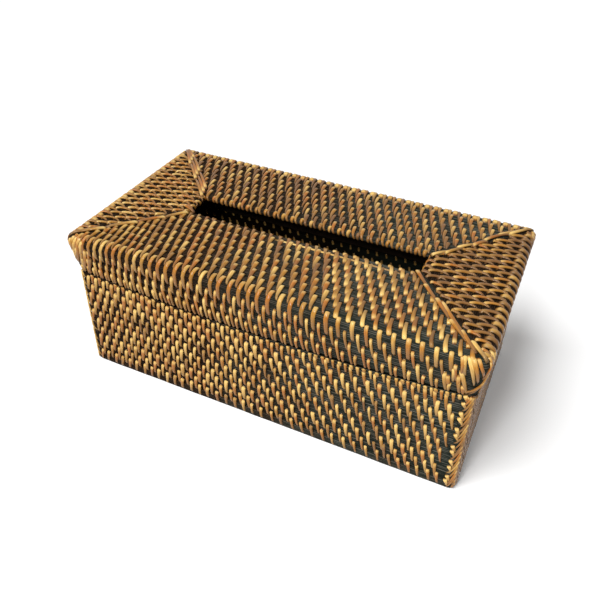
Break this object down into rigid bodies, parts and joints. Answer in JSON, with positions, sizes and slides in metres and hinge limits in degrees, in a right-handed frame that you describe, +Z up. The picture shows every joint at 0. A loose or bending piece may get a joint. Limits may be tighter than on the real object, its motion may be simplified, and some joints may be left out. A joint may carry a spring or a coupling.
{
  "type": "tissue box cover",
  "caption": "Woven rattan tissue box cover: a rectangular base with a floor, and a lift-off lid with a mitred top and a long tissue slot.",
  "frame": {"origin": "centre of the box's footprint, on the surface it stands on", "axes": "+X along the length, to the right of a person facing the front; +Z up; the front faces -Y"},
  "size_m": [0.26, 0.138, 0.104],
  "materials": {
    "stitched_rows": "rows of dark fibre stitched with satin varnished rattan peel",
    "bound_strands": "satin varnished rattan peel, close bound",
    "bare_lath": "plain rattan lath, lightly varnished",
    "dark_fibre": "bundled fern fibre, stained dark, dull"
  },
  "bodies": {
    "base": {"base_floor": "stitched_rows", "base_wall_front": "stitched_rows", "base_wall_right": "stitched_rows", "base_wall_back": "stitched_rows", "base_wall_left": "stitched_rows", "base_foot_row_front": "stitched_rows", "base_foot_row_right": "stitched_rows", "base_foot_row_back": "stitched_rows", "base_foot_row_left": "stitched_rows", "base_rim_row_front": "stitched_rows", "base_rim_row_right": "stitched_rows", "base_rim_row_back": "stitched_rows", "base_rim_row_left": "stitched_rows", "base_lip_lath_front": "bare_lath", "base_lip_lath_right": "bare_lath", "base_lip_lath_back": "bare_lath", "base_lip_lath_left": "bare_lath", "base_corner_post_front_right": "bound_strands", "base_corner_post_back_right": "bound_strands", "base_corner_post_back_left": "bound_strands", "base_corner_post_front_left": "bound_strands"},
    "lid": {"lid_rim_row_front": "stitched_rows", "lid_rim_row_right": "stitched_rows", "lid_rim_row_back": "stitched_rows", "lid_rim_row_left": "stitched_rows", "lid_skirt_front": "stitched_rows", "lid_skirt_right": "stitched_rows", "lid_skirt_back": "stitched_rows", "lid_skirt_left": "stitched_rows", "lid_edge_rod_front": "bound_strands", "lid_edge_rod_right": "bound_strands", "lid_edge_rod_back": "bound_strands", "lid_edge_rod_left": "bound_strands", "lid_top_panel_front": "stitched_rows", "lid_top_panel_right": "stitched_rows", "lid_top_panel_back": "stitched_rows", "lid_top_panel_left": "stitched_rows", "lid_slot_rod_front": "bound_strands", "lid_slot_rod_right": "bound_strands", "lid_slot_rod_back": "bound_strands", "lid_slot_rod_left": "bound_strands", "lid_corner_post_front_right": "bound_strands", "lid_corner_post_back_right": "bound_strands", "lid_corner_post_back_left": "bound_strands", "lid_corner_post_front_left": "bound_strands", "lid_mitre_rib_front_right": "bound_strands", "lid_mitre_rib_back_right": "bound_strands", "lid_mitre_rib_back_left": "bound_strands", "lid_mitre_rib_front_left": "bound_strands"}
  },
  "joints": [
    {"name": "lid_lift", "type": "slide", "parent": "base", "child": "lid", "axis": [0, 0, 1], "range_m": [0, 0.08]}
  ]
}
